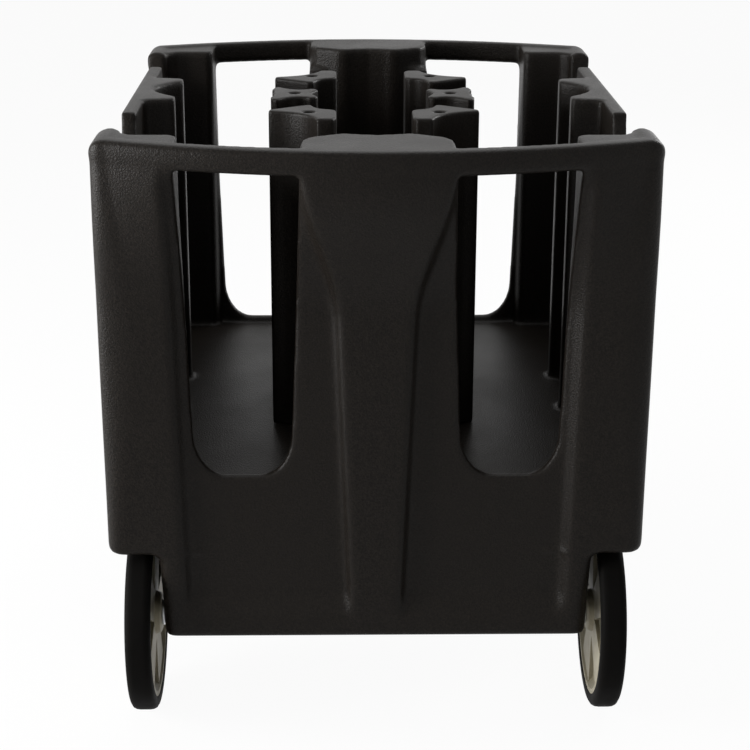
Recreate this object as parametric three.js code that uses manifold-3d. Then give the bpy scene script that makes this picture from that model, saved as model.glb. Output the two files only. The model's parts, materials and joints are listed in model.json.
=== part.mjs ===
// Plate dispenser cart: a moulded tub on two large wheels and two swivel casters.
// Millimetres, +Z up. The origin is on the floor under the middle of the cart.
// X runs across the cart, Y along it. The large wheels are at the -Y end.
import * as THREE from 'three';
import { mergeVertices } from 'three/addons/utils/BufferGeometryUtils.js';
import Module from 'manifold-3d';

// ---------------------------------------------------------------- driving sizes
const CART_WIDTH = 727;
const CART_LENGTH = 952;
const CART_HEIGHT = 832;
const SEAT_GAP = 0.3; // between two pieces that rest on each other
const RUN_GAP = 0.3; // around a shaft that turns

// End handles: a bar that bows out over each pair of windows
const HANDLE_BOW = 83; // how far the bar stands out of the end face at mid width
const BAR_HEIGHT = 26;
const BAR_DEPTH = 26;
const BEAD = 3; // how far the rim stands out of the wall below it
const RIM_LIP = 8; // how far the rim stands above the tops inside it
const FLARE_START = 590; // height where the end wall starts to lean out

// Outer walls
const SIDE_INSET = 18; // side panels behind the corner columns
const COLUMN_LENGTH = 77; // corner column, along Y
const COLUMN_EASE = 18; // length of the slope from a column to its side panel
const CORNER_RADIUS = 26;
const SKIRT_BOTTOM = 268; // underside of the wide upper body
const SKIRT_ROUND = 14;
const SKIRT_FILLET = 8; // where the wide body meets the narrow one
const BASE_HALF_WIDTH = 290; // narrow lower body
const BASE_TAPER = 5; // how much narrower it is at the bottom
const BASE_CORNER_RADIUS = 12;
const BASE_ROUND = 7;

// Sunken panels of the end walls, between the corner columns and the middle column
const PANEL_DEPTH = 14;
const PANEL_BOTTOM = 160;
const PANEL_LEDGE = 48; // height of the sloping ledge under a panel
const PANEL_EDGE_TOP = 289; // half width at the rim
const PANEL_EDGE_BOTTOM = 259; // half width at the bottom of the cart
const PANEL_SLOPE = 26; // width of the slope beside a corner column
const FLANK = 14; // width of the slope beside the middle column
const MIDDLE_COLUMN_BOTTOM = 29; // half width of the middle column at the bottom
const MIDDLE_COLUMN_TOP = 56; // half width that its straight sides reach at the rim
const FUNNEL_SPREAD = 37; // how much wider the funnel makes each side at the rim

// Windows
const WINDOW_BOTTOM = 370;
const WINDOW_RADIUS = 50;
const WINDOW_INNER_TOP = 97;
const WINDOW_INNER_BOTTOM = 109;
const WINDOW_OUTER_TOP = 260;
const WINDOW_OUTER_BOTTOM = 248;

// Cavity for the four stacks
const FLOOR_HEIGHT = 362;
const SIDE_WALL = 20;
const END_WALL = 16;
const FIN_TIP = 64; // how far a side fin reaches in from the side panel
const FIN_TIP_WIDTH = 56;
const FIN_FOOT = 150; // where the slope of a fin ends, from mid length
const NOTCH_RADIUS = 26; // round notch between the two fins of a side
const NOTCH_DEPTH = 33;
const RIDGE_X = 42; // the two ridges of an end pillar
const RIDGE_DEPTH = 10;
const DIP_DEPTH = 56; // hand dips in the top of each side
const DIP_START = 195;
const DIP_SLOPE = 16;

// Divider posts: three on each side of the middle aisle
const END_POST_X = 90;
const END_POST_Y = 150;
const END_POST_OUT = 53; // from its hole to its outer tip
const END_POST_IN = 41; // from its hole to its aisle face
const END_POST_NOSE = 51; // from its hole to its nose, which points at mid length
const MIDDLE_POST_X = 113;
const MIDDLE_POST_LENGTH = 104;
const MIDDLE_POST_WIDTH = 68;
const POST_HOLE_RADIUS = 8;
const POST_HOLE_DEPTH = 14;
const PEG_RADIUS = 7;
const PEG_LENGTH = 18;

// Large wheels and their axle
const WHEEL_RADIUS = 136;
const WHEEL_WIDTH = 36;
const WHEEL_TRACK = 644;
const WHEEL_Y = -300;
const TYRE_THICKNESS = 18;
const HUB_RADIUS = 25;
const HUB_LENGTH = 44;
const WHEEL_RIBS = 8;
const AXLE_RADIUS = 10;
const BUSH_WALL = 4;
const ARCH_CLEARANCE = 14;
const WASHER_THICKNESS = 3;
const COLLAR_LENGTH = 5;
const CAP_LENGTH = 7;
const STRAP_X = 200;
const STRAP_WIDTH = 40;
const STRAP_THICKNESS = 4;
const STRAP_FLANGE = 26;
const BOLT_RADIUS = 4;
const BOLT_HEAD_RADIUS = 7.5;
const BOLT_HEAD_HEIGHT = 5;
const BOLT_GRIP = 24; // how far a bolt's shank goes up into the moulding

// Swivel casters
const CASTER_X = 215;
const CASTER_Y = 300;
const CASTER_RADIUS = 57;
const CASTER_WIDTH = 32;
const CASTER_TRAIL = 34;
const CASTER_TYRE = 9;
const CASTER_HUB_RADIUS = 16;
const CASTER_BOLT_RADIUS = 5;
const PLATE_LENGTH = 104;
const PLATE_WIDTH = 84;
const PLATE_THICKNESS = 5;
const PLATE_BOLT_INSET = 13;
const RACE_RADIUS = 27;
const RACE_HEIGHT = 9;
const FORK_THICKNESS = 4;
const FORK_CROWN_RADIUS = 30;
const FORK_CLEARANCE = 3; // between the wheel's side and a fork leg
const KINGPIN_RADIUS = 6;
const KINGPIN_HEAD = 11;

// ---------------------------------------------------------------- derived sizes
const CORNER_X = CART_WIDTH / 2 - BEAD;
const SIDE_X = CORNER_X - SIDE_INSET;
const END_Y = CART_LENGTH / 2 - BEAD - HANDLE_BOW;
const COLUMN_BACK = END_Y - COLUMN_LENGTH;
const PANEL_Y = END_Y - PANEL_DEPTH;
const BAR_BOTTOM = CART_HEIGHT - BAR_HEIGHT;
const INNER_TOP = CART_HEIGHT - RIM_LIP;
const BODY_BOTTOM = WHEEL_RADIUS + AXLE_RADIUS + SEAT_GAP;
const SLOT_END_Y = PANEL_Y - END_WALL;
const CAVITY_X = SIDE_X - SIDE_WALL;
const BUSH_RADIUS = AXLE_RADIUS + RUN_GAP + BUSH_WALL;
const WHEEL_X = WHEEL_TRACK / 2;
const ABOVE = CART_HEIGHT + 20; // any height clear of the top, for cutting tools
const OUTSIDE = CART_LENGTH; // any distance clear of the outside, for cutting tools

// ---------------------------------------------------------------- solids by hand
const wasm = await Module();
wasm.setup();

function signedVolume(geometry) {
  const at = geometry.attributes.position;
  const corners = [new THREE.Vector3(), new THREE.Vector3(), new THREE.Vector3()];
  let volume = 0;
  for (let i = 0; i < geometry.index.count; i += 3) {
    corners.forEach((corner, k) => corner.fromBufferAttribute(at, geometry.index.getX(i + k)));
    volume += corners[0].dot(corners[1].clone().cross(corners[2])) / 6;
  }
  return volume;
}

// Shared vertices only, with the faces turned outward.
function closedGeometry(geometry) {
  const bare = geometry.clone();
  bare.deleteAttribute('normal');
  bare.deleteAttribute('uv');
  const merged = mergeVertices(bare, 1e-4);
  const kept = [];
  for (let i = 0; i < merged.index.count; i += 3) {
    const corners = [0, 1, 2].map((k) => merged.index.getX(i + k));
    if (new Set(corners).size === 3) kept.push(...corners);
  }
  merged.setIndex(kept);
  if (signedVolume(merged) < 0) {
    for (let i = 0; i < kept.length; i += 3) kept.splice(i, 2, kept[i + 1], kept[i]);
    merged.setIndex(kept);
  }
  return merged;
}

function toManifold(geometry) {
  const closed = closedGeometry(geometry);
  const vertProperties = new Float32Array(closed.attributes.position.array);
  const triVerts = new Uint32Array(closed.index.array);
  return new wasm.Manifold(new wasm.Mesh({ numProp: 3, vertProperties, triVerts }));
}

function fromManifold(manifold) {
  const mesh = manifold.getMesh();
  const geometry = new THREE.BufferGeometry();
  geometry.setAttribute('position', new THREE.BufferAttribute(new Float32Array(mesh.vertProperties), 3));
  geometry.setIndex(new THREE.BufferAttribute(new Uint32Array(mesh.triVerts), 1));
  return geometry;
}

function cut(base, tools) {
  let solid = toManifold(base);
  for (const tool of tools) solid = solid.subtract(toManifold(tool));
  return fromManifold(solid);
}

function join(parts) {
  let solid = toManifold(parts[0]);
  for (const part of parts.slice(1)) solid = solid.add(toManifold(part));
  return fromManifold(solid);
}

// ---------------------------------------------------------------- shape helpers
const points = (list) => list.map(([x, y]) => new THREE.Vector2(x, y));

// A prism that stands on height `from` and ends at height `to`.
function upright(shape, from, to, curveSegments = 8) {
  const options = { depth: to - from, bevelEnabled: false, curveSegments };
  return new THREE.ExtrudeGeometry(shape, options).translate(0, 0, from);
}

// A prism whose outline is drawn in X and Z, and that runs along Y.
function alongY(shape, from, to, curveSegments = 8) {
  return upright(shape, -to, -from, curveSegments).rotateX(Math.PI / 2);
}

// A prism whose outline is drawn in Y and Z, and that runs along X.
function alongX(shape, from, to, curveSegments = 8) {
  const turn = new THREE.Matrix4().makeBasis(
    new THREE.Vector3(0, 1, 0),
    new THREE.Vector3(0, 0, 1),
    new THREE.Vector3(1, 0, 0),
  );
  return upright(shape, from, to, curveSegments).applyMatrix4(turn);
}

// A turned piece about the X axis; the profile is [radius, x].
function turnedAboutX(profile, segments) {
  return new THREE.LatheGeometry(points(profile), segments).rotateZ(-Math.PI / 2);
}

// A turned piece about the Z axis; the profile is [radius, z].
function turnedAboutZ(profile, segments) {
  return new THREE.LatheGeometry(points(profile), segments).rotateX(Math.PI / 2);
}

const ring = (inner, outer, from, to) => [
  [inner, from], [outer, from], [outer, to], [inner, to], [inner, from],
];

function box(sizeX, sizeY, sizeZ, x, y, z) {
  return new THREE.BoxGeometry(sizeX, sizeY, sizeZ).translate(x, y, z);
}

const mirroredX = (geometry) => geometry.clone().scale(-1, 1, 1);
const mirroredY = (geometry) => geometry.clone().scale(1, -1, 1);

// The same tool at both ends and on both sides of the cart.
function inAllQuarters(tool) {
  const pair = [tool, mirroredX(tool)];
  return [...pair, ...pair.map(mirroredY)];
}

// A closed skin through rings that all have the same number of points.
function loft(rings) {
  const count = rings[0].length;
  const vertices = rings.flat().flatMap((p) => [p.x, p.y, p.z]);
  const indices = [];
  for (let level = 0; level < rings.length - 1; level += 1) {
    for (let i = 0; i < count; i += 1) {
      const a = level * count + i;
      const b = level * count + (i + 1) % count;
      indices.push(a, b, b + count, a, b + count, a + count);
    }
  }
  const top = (rings.length - 1) * count;
  for (const [a, b, c] of THREE.ShapeUtils.triangulateShape(rings[0], [])) indices.push(c, b, a);
  for (const [a, b, c] of THREE.ShapeUtils.triangulateShape(rings.at(-1), [])) {
    indices.push(top + a, top + b, top + c);
  }
  const geometry = new THREE.BufferGeometry();
  geometry.setAttribute('position', new THREE.Float32BufferAttribute(vertices, 3));
  geometry.setIndex(indices);
  return geometry;
}

// ---------------------------------------------------------------- outer form
const { smoothstep, lerp, mapLinear } = THREE.MathUtils;

const handleBow = (x) => HANDLE_BOW * (1 - (x / CORNER_X) ** 2);

// Half width of the middle column, which spreads into a funnel under the rim.
function middleColumn(z) {
  const straight = mapLinear(z, BODY_BOTTOM, CART_HEIGHT, MIDDLE_COLUMN_BOTTOM, MIDDLE_COLUMN_TOP);
  return straight + FUNNEL_SPREAD * smoothstep(z, FLARE_START, BAR_BOTTOM);
}

const panelEdge = (z) => mapLinear(z, BODY_BOTTOM, CART_HEIGHT, PANEL_EDGE_BOTTOM, PANEL_EDGE_TOP);

// How far the end wall stands from mid length: it leans out to the handle, and its
// panels are sunk between the columns.
function endWall(x, z) {
  const front = END_Y + handleBow(x) * smoothstep(z, FLARE_START, BAR_BOTTOM);
  if (z >= BAR_BOTTOM) return front;
  const column = middleColumn(z);
  const edge = panelEdge(z);
  const besideColumn = smoothstep(x, column, column + FLANK);
  const besideCorner = 1 - smoothstep(x, edge - PANEL_SLOPE, edge);
  const aboveLedge = smoothstep(z, PANEL_BOTTOM, PANEL_BOTTOM + PANEL_LEDGE);
  return lerp(front, PANEL_Y, besideColumn * besideCorner * aboveLedge);
}

// One quarter of the outline at a height, from the side's middle to the end's middle.
function quarterOutline({ z, cornerX, sideX, radius, grow = 0 }) {
  const arcX = cornerX - radius;
  const arcY = endWall(arcX, z) - radius;
  const outline = [
    [sideX, 0],
    [sideX, COLUMN_BACK - COLUMN_EASE],
    [cornerX + grow, COLUMN_BACK],
  ];
  for (let step = 0; step <= 3; step += 1) {
    const angle = (step / 3) * (Math.PI / 2);
    const reach = radius + grow;
    outline.push([arcX + reach * Math.cos(angle), arcY + reach * Math.sin(angle)]);
  }
  const column = middleColumn(z);
  const edge = panelEdge(z);
  const slope = [0, 0.3, 0.7, 1].map((share) => edge - PANEL_SLOPE * share);
  const flank = [1, 0.7, 0.3, 0].map((share) => column + FLANK * share);
  const panel = [0.67, 0.33].map((share) => lerp(column + FLANK, edge - PANEL_SLOPE, share));
  for (const x of [(arcX + edge) / 2, ...slope, ...panel, ...flank, column / 2, 0]) {
    outline.push([x, endWall(x, z) + grow]);
  }
  return outline;
}

function outlineAt(level) {
  const quarter = quarterOutline(level);
  const back = quarter.slice(0, -1).reverse();
  const turn = (list, signX, signY) => list.map(([x, y]) => [signX * x, signY * y]);
  const all = [
    ...quarter,
    ...turn(back, -1, 1),
    ...turn(quarter, -1, -1).slice(1),
    ...turn(back, 1, -1).slice(0, -1),
  ];
  return all.map(([x, y]) => new THREE.Vector3(x, y, level.z));
}

function baseLevel(z, inset = 0) {
  const half = mapLinear(z, BODY_BOTTOM, SKIRT_BOTTOM, BASE_HALF_WIDTH - BASE_TAPER, BASE_HALF_WIDTH);
  return { z, cornerX: half - inset, sideX: half - inset, radius: BASE_CORNER_RADIUS, grow: -inset };
}

// The narrow body where it spreads out to meet the underside of the wide one.
function flaredBase(z, spread) {
  const level = baseLevel(z);
  return { ...level, cornerX: level.cornerX + spread, sideX: level.sideX + spread };
}

function upperLevel(z, grow = 0, inset = 0) {
  return { z, cornerX: CORNER_X - inset, sideX: SIDE_X - inset, radius: CORNER_RADIUS, grow };
}

function outerForm() {
  const round = SKIRT_ROUND;
  const ledge = [0.3, 0.6, 1].map((share) => baseLevel(PANEL_BOTTOM + PANEL_LEDGE * share));
  const walls = [430, FLARE_START, 620, 650, 680, 715, 750, 780];
  const levels = [
    baseLevel(BODY_BOTTOM, BASE_ROUND),
    baseLevel(BODY_BOTTOM + BASE_ROUND * 0.3, BASE_ROUND * 0.3),
    baseLevel(BODY_BOTTOM + BASE_ROUND),
    baseLevel(PANEL_BOTTOM),
    ...ledge,
    baseLevel(SKIRT_BOTTOM - SKIRT_FILLET),
    flaredBase(SKIRT_BOTTOM - SKIRT_FILLET * 0.3, SKIRT_FILLET * 0.3),
    flaredBase(SKIRT_BOTTOM, SKIRT_FILLET),
    upperLevel(SKIRT_BOTTOM, 0, round),
    upperLevel(SKIRT_BOTTOM + round * 0.3, 0, round * 0.3),
    upperLevel(SKIRT_BOTTOM + round),
    ...walls.map((z) => upperLevel(z)),
    upperLevel(BAR_BOTTOM),
    upperLevel(BAR_BOTTOM + 3, BEAD),
    upperLevel(CART_HEIGHT - 8, BEAD),
    upperLevel(CART_HEIGHT - 2, BEAD - 3),
    upperLevel(CART_HEIGHT, BEAD - 8),
  ];
  return loft(levels.map(outlineAt));
}

// ---------------------------------------------------------------- cavity
// One quarter of the cavity's plan, from the notch between the fins to the end pillar.
function cavityQuarter() {
  const notchX = SIDE_X - NOTCH_DEPTH - NOTCH_RADIUS;
  const finX = SIDE_X - FIN_TIP;
  const quarter = [];
  for (let step = 0; step <= 3; step += 1) {
    const angle = (step / 3) * (Math.PI / 2);
    quarter.push([notchX + NOTCH_RADIUS * Math.cos(angle), NOTCH_RADIUS * Math.sin(angle)]);
  }
  quarter.push(
    [finX, NOTCH_RADIUS + 6],
    [finX, NOTCH_RADIUS + FIN_TIP_WIDTH],
    [CAVITY_X, FIN_FOOT],
    [CAVITY_X, COLUMN_BACK - COLUMN_EASE],
    [CAVITY_X - COLUMN_EASE, COLUMN_BACK],
    [WINDOW_OUTER_TOP + 8, COLUMN_BACK],
    [WINDOW_OUTER_TOP, COLUMN_BACK + 10],
    [WINDOW_OUTER_TOP, SLOT_END_Y],
    [RIDGE_X + 22, SLOT_END_Y],
    [RIDGE_X + 8, SLOT_END_Y - RIDGE_DEPTH + 2],
    [RIDGE_X - 4, SLOT_END_Y - RIDGE_DEPTH],
    [RIDGE_X - 16, SLOT_END_Y - RIDGE_DEPTH / 2],
    [0, SLOT_END_Y],
  );
  return quarter;
}

function cavity() {
  const quarter = cavityQuarter();
  const back = quarter.slice(0, -1).reverse();
  const turn = (list, signX, signY) => list.map(([x, y]) => [signX * x, signY * y]);
  const outline = [
    ...quarter,
    ...turn(back, -1, 1),
    ...turn(quarter, -1, -1).slice(1),
    ...turn(back, 1, -1).slice(0, -1),
  ];
  return upright(new THREE.Shape(points(outline)), FLOOR_HEIGHT, ABOVE);
}

// The hollow behind a handle bar, open upward, with the scooped shoulder of the pillar.
function handleHollow() {
  const inner = (x) => END_Y + handleBow(x) + BEAD - BAR_DEPTH;
  const bar = [1, 0.75, 0.5, 0.25, 0].map((share) => lerp(WINDOW_INNER_TOP, WINDOW_OUTER_TOP, share));
  const outline = [
    [WINDOW_OUTER_TOP, COLUMN_BACK + 20],
    ...bar.map((x) => [x, inner(x)]),
    [(WINDOW_INNER_TOP + RIDGE_X) / 2, SLOT_END_Y + 22],
    [RIDGE_X + 4, SLOT_END_Y - RIDGE_DEPTH],
    [RIDGE_X + 4, COLUMN_BACK + 20],
  ];
  return upright(new THREE.Shape(points(outline)), BAR_BOTTOM - 2, ABOVE);
}

function windowOpening() {
  const left = WINDOW_INNER_BOTTOM + WINDOW_RADIUS;
  const right = WINDOW_OUTER_BOTTOM - WINDOW_RADIUS;
  const base = WINDOW_BOTTOM + WINDOW_RADIUS;
  const shape = new THREE.Shape();
  shape.moveTo(WINDOW_INNER_TOP, BAR_BOTTOM);
  shape.lineTo(WINDOW_INNER_BOTTOM, base);
  shape.absarc(left, base, WINDOW_RADIUS, Math.PI, Math.PI * 1.5, false);
  shape.absarc(right, base, WINDOW_RADIUS, Math.PI * 1.5, Math.PI * 2, false);
  shape.lineTo(WINDOW_OUTER_TOP, BAR_BOTTOM);
  return alongY(shape, SLOT_END_Y - 12, OUTSIDE, 6);
}

// Takes the tops inside the rim, and the whole top of the sides, below the rim.
function loweredTop() {
  const reach = OUTSIDE;
  const half = CORNER_X - BAR_DEPTH;
  const arc = [];
  for (let step = -6; step <= 6; step += 1) {
    const x = (half * step) / 6;
    arc.push([x, END_Y + handleBow(x) + BEAD - BAR_DEPTH]);
  }
  const outline = [
    [reach, -COLUMN_BACK],
    [reach, COLUMN_BACK],
    [half, COLUMN_BACK],
    ...arc.toReversed(),
    [-half, COLUMN_BACK],
    [-reach, COLUMN_BACK],
    [-reach, -COLUMN_BACK],
    [-half, -COLUMN_BACK],
    ...arc.map(([x, y]) => [x, -y]),
    [half, -COLUMN_BACK],
  ];
  return upright(new THREE.Shape(points(outline)), INNER_TOP, ABOVE);
}

function handDip() {
  const outline = [
    [DIP_START, ABOVE],
    [DIP_START, INNER_TOP - 10],
    [DIP_START + DIP_SLOPE, INNER_TOP - DIP_DEPTH],
    [COLUMN_BACK - COLUMN_EASE, INNER_TOP - DIP_DEPTH],
    [COLUMN_BACK, INNER_TOP - DIP_DEPTH + 14],
    [COLUMN_BACK, ABOVE],
  ];
  return alongX(new THREE.Shape(points(outline)), -OUTSIDE, OUTSIDE);
}

function wheelArch() {
  const radius = WHEEL_RADIUS + ARCH_CLEARANCE;
  const arch = new THREE.CylinderGeometry(radius, radius, OUTSIDE, 40).rotateZ(Math.PI / 2);
  return arch.translate(BASE_HALF_WIDTH + OUTSIDE / 2, WHEEL_Y, WHEEL_RADIUS);
}

// Where the two pegs of each post stand, from the post's hole.
const endPostPegs = [[-20, -12], [22, -16]];
const middlePostPegs = [[-15, -20], [15, 20]];

function pegSocket(x, y) {
  const radius = PEG_RADIUS + SEAT_GAP;
  const socket = new THREE.CylinderGeometry(radius, radius, (PEG_LENGTH + 2) * 2, 10);
  return socket.rotateX(Math.PI / 2).translate(x, y, FLOOR_HEIGHT);
}

function pegSockets() {
  const atEnds = endPostPegs.flatMap(([x, y]) => inAllQuarters(pegSocket(END_POST_X + x, END_POST_Y + y)));
  const inMiddle = middlePostPegs.map(([x, y]) => pegSocket(MIDDLE_POST_X + x, y));
  return [...atEnds, ...inMiddle, ...inMiddle.map(mirroredX)];
}

function boltHoles(places) {
  const radius = BOLT_RADIUS + SEAT_GAP;
  return places.map(([x, y]) => {
    const hole = new THREE.CylinderGeometry(radius, radius, (BOLT_GRIP + 2) * 2, 6);
    return hole.rotateX(Math.PI / 2).translate(x, y, BODY_BOTTOM);
  });
}

function bodyShell() {
  const holes = boltHoles([...strapBoltPlaces, ...plateBoltPlaces]);
  const arch = wheelArch();
  const tools = [
    cavity(),
    ...inAllQuarters(windowOpening()),
    ...inAllQuarters(handleHollow()),
    loweredTop(),
    handDip(),
    mirroredY(handDip()),
    arch,
    mirroredX(arch),
    ...pegSockets(),
    ...holes,
  ];
  return cut(outerForm(), tools);
}

// ---------------------------------------------------------------- divider posts
// Outline of an end post from its hole, with x outward and y toward the near end of the
// cart. Its hollow face guides a stack, and its nose points at mid length.
function endPostShape() {
  const shape = new THREE.Shape();
  shape.moveTo(-END_POST_IN, -12);
  shape.quadraticCurveTo(-16, -20, -14, -END_POST_NOSE + 6);
  shape.lineTo(-9, -END_POST_NOSE);
  shape.lineTo(1, -END_POST_NOSE);
  shape.lineTo(6, -END_POST_NOSE + 6);
  shape.quadraticCurveTo(16, -30, END_POST_OUT - 4, -24);
  shape.lineTo(END_POST_OUT, -19);
  shape.lineTo(END_POST_OUT - 2, -10);
  shape.lineTo(END_POST_OUT - 8, -6);
  shape.quadraticCurveTo(14, -2, -22, 18);
  shape.lineTo(-END_POST_IN + 6, 18);
  shape.lineTo(-END_POST_IN, 12);
  return shape;
}

// A star with four arms and hollow sides between them.
function middlePostShape() {
  const long = MIDDLE_POST_LENGTH / 2;
  const wide = MIDDLE_POST_WIDTH / 2;
  const shape = new THREE.Shape();
  shape.moveTo(wide, -long + 20);
  shape.quadraticCurveTo(wide * 0.35, 0, wide, long - 20);
  shape.lineTo(wide - 4, long - 6);
  shape.lineTo(wide - 14, long);
  shape.quadraticCurveTo(0, long * 0.35, -wide + 14, long);
  shape.lineTo(-wide + 4, long - 6);
  shape.lineTo(-wide, long - 20);
  shape.quadraticCurveTo(-wide * 0.35, 0, -wide, -long + 20);
  shape.lineTo(-wide + 4, -long + 6);
  shape.lineTo(-wide + 14, -long);
  shape.quadraticCurveTo(0, -long * 0.35, wide - 14, -long);
  shape.lineTo(wide - 4, -long + 6);
  return shape;
}

function dividerPost(shape, pegPlaces) {
  const foot = FLOOR_HEIGHT + SEAT_GAP;
  const body = upright(shape, foot, INNER_TOP, 6);
  const pegs = pegPlaces.map(([x, y]) => {
    const peg = new THREE.CylinderGeometry(PEG_RADIUS, PEG_RADIUS, PEG_LENGTH + 4, 10);
    const middle = foot - PEG_LENGTH + (PEG_LENGTH + 4) / 2;
    return peg.rotateX(Math.PI / 2).translate(x, y, middle);
  });
  const radius = POST_HOLE_RADIUS;
  const hole = new THREE.CylinderGeometry(radius, radius, POST_HOLE_DEPTH * 2, 16);
  return cut(join([body, ...pegs]), [hole.rotateX(Math.PI / 2).translate(0, 0, INNER_TOP)]);
}

// ---------------------------------------------------------------- large wheels
const rimRadius = WHEEL_RADIUS - TYRE_THICKNESS;

function wheelTyre() {
  const half = WHEEL_WIDTH / 2;
  const outer = WHEEL_RADIUS;
  const profile = [
    [rimRadius, -half + 1],
    [outer - 9, -half],
    [outer - 3, -half + 3],
    [outer, -half + 9],
    [outer, half - 9],
    [outer - 3, half - 3],
    [outer - 9, half],
    [rimRadius, half - 1],
    [rimRadius, -half + 1],
  ];
  return turnedAboutX(profile, 32);
}

function wheelCentre() {
  const half = WHEEL_WIDTH / 2 - 2;
  const outer = rimRadius - SEAT_GAP;
  const hub = HUB_LENGTH / 2;
  const bore = BUSH_RADIUS + SEAT_GAP;
  const profile = [
    [bore, -hub],
    [HUB_RADIUS, -hub],
    [HUB_RADIUS + 3, -6],
    [outer - 14, -3],
    [outer - 7, -half],
    [outer, -half],
    [outer, half],
    [outer - 7, half],
    [outer - 14, 3],
    [HUB_RADIUS + 3, 6],
    [HUB_RADIUS, hub],
    [bore, hub],
    [bore, -hub],
  ];
  const ribs = [];
  const from = HUB_RADIUS - 3;
  const to = outer - 5;
  const ribShape = new THREE.Shape(points([
    [-hub + 4, from],
    [-half + 1, to],
    [half - 1, to],
    [hub - 4, from],
  ]));
  for (let i = 0; i < WHEEL_RIBS; i += 1) {
    const rib = alongY(ribShape, -2.5, 2.5);
    ribs.push(rib.rotateX((i / WHEEL_RIBS) * Math.PI * 2));
  }
  return join([turnedAboutX(profile, 32), ...ribs]);
}

function wheelBush() {
  const half = HUB_LENGTH / 2 + SEAT_GAP;
  return turnedAboutX(ring(AXLE_RADIUS + RUN_GAP, BUSH_RADIUS, -half, half), 16);
}

const hubEnd = HUB_LENGTH / 2 + 2 * SEAT_GAP; // from the wheel's middle to what stops it

function axle() {
  const half = WHEEL_X + hubEnd + CAP_LENGTH - 3;
  return turnedAboutX([[0, -half], [AXLE_RADIUS, -half], [AXLE_RADIUS, half], [0, half]], 16);
}

// Domed cap pushed onto the end of the axle; it keeps the wheel on.
function axleCap() {
  const inner = AXLE_RADIUS + SEAT_GAP;
  const depth = CAP_LENGTH - 3 + SEAT_GAP;
  const profile = [
    [inner, 0],
    [17, 0],
    [17, 2],
    [inner + 4, depth],
    [8, CAP_LENGTH + 1],
    [0, CAP_LENGTH + 2],
    [0, depth],
    [inner, depth],
    [inner, 0],
  ];
  return turnedAboutX(profile, 16).translate(hubEnd, 0, 0);
}

function axleWasher() {
  const profile = ring(AXLE_RADIUS + SEAT_GAP, 18, 0, WASHER_THICKNESS);
  return turnedAboutX(profile, 16).translate(-hubEnd - WASHER_THICKNESS, 0, 0);
}

function axleCollar() {
  const start = -hubEnd - WASHER_THICKNESS - SEAT_GAP - COLLAR_LENGTH;
  return turnedAboutX(ring(AXLE_RADIUS + SEAT_GAP, 15.5, 0, COLLAR_LENGTH), 16).translate(start, 0, 0);
}

// Strap that holds the axle up against the underside.
function axleStrap() {
  const top = BODY_BOTTOM - SEAT_GAP;
  const inner = AXLE_RADIUS + SEAT_GAP;
  const outer = inner + STRAP_THICKNESS;
  const shape = new THREE.Shape();
  shape.moveTo(-outer - STRAP_FLANGE, top);
  shape.lineTo(-outer - STRAP_FLANGE, top - STRAP_THICKNESS);
  shape.lineTo(-outer, top - STRAP_THICKNESS);
  shape.absarc(0, WHEEL_RADIUS, outer, Math.PI, Math.PI * 2, false);
  shape.lineTo(outer, top - STRAP_THICKNESS);
  shape.lineTo(outer + STRAP_FLANGE, top - STRAP_THICKNESS);
  shape.lineTo(outer + STRAP_FLANGE, top);
  shape.lineTo(inner, top);
  shape.absarc(0, WHEEL_RADIUS, inner, 0, Math.PI, true);
  shape.lineTo(-inner, top);
  const strap = alongX(shape, -STRAP_WIDTH / 2, STRAP_WIDTH / 2);
  const radius = BOLT_RADIUS + SEAT_GAP;
  const holes = [-1, 1].map((side) => {
    const hole = new THREE.CylinderGeometry(radius, radius, 4 * STRAP_THICKNESS, 6);
    return hole.rotateX(Math.PI / 2).translate(0, side * strapBoltOffset, top);
  });
  return cut(strap, holes);
}

const strapBoltOffset = AXLE_RADIUS + SEAT_GAP + STRAP_THICKNESS + STRAP_FLANGE / 2;
const strapBoltPlaces = [-1, 1].flatMap((side) => [-1, 1].map(
  (end) => [side * STRAP_X, WHEEL_Y + end * strapBoltOffset],
));

// A bolt from below: head under a plate of the given thickness, shank up into the body.
function mountingBolt(plate) {
  const under = BODY_BOTTOM - SEAT_GAP - plate - SEAT_GAP;
  const profile = [
    [0, under - BOLT_HEAD_HEIGHT],
    [BOLT_HEAD_RADIUS, under - BOLT_HEAD_HEIGHT],
    [BOLT_HEAD_RADIUS, under],
    [BOLT_RADIUS, under],
    [BOLT_RADIUS, BODY_BOTTOM + BOLT_GRIP],
    [0, BODY_BOTTOM + BOLT_GRIP],
  ];
  return turnedAboutZ(profile, 6);
}

// ---------------------------------------------------------------- swivel casters
const plateTop = BODY_BOTTOM - SEAT_GAP;
const raceTop = plateTop - PLATE_THICKNESS - SEAT_GAP;
const forkTop = raceTop - RACE_HEIGHT - SEAT_GAP;
const legX = CASTER_WIDTH / 2 + FORK_CLEARANCE;

const plateBoltPlaces = [-1, 1].flatMap((side) => [[-1, -1], [-1, 1], [1, -1], [1, 1]].map(([u, v]) => [
  side * CASTER_X + u * (PLATE_WIDTH / 2 - PLATE_BOLT_INSET),
  CASTER_Y + v * (PLATE_LENGTH / 2 - PLATE_BOLT_INSET),
]));

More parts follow.
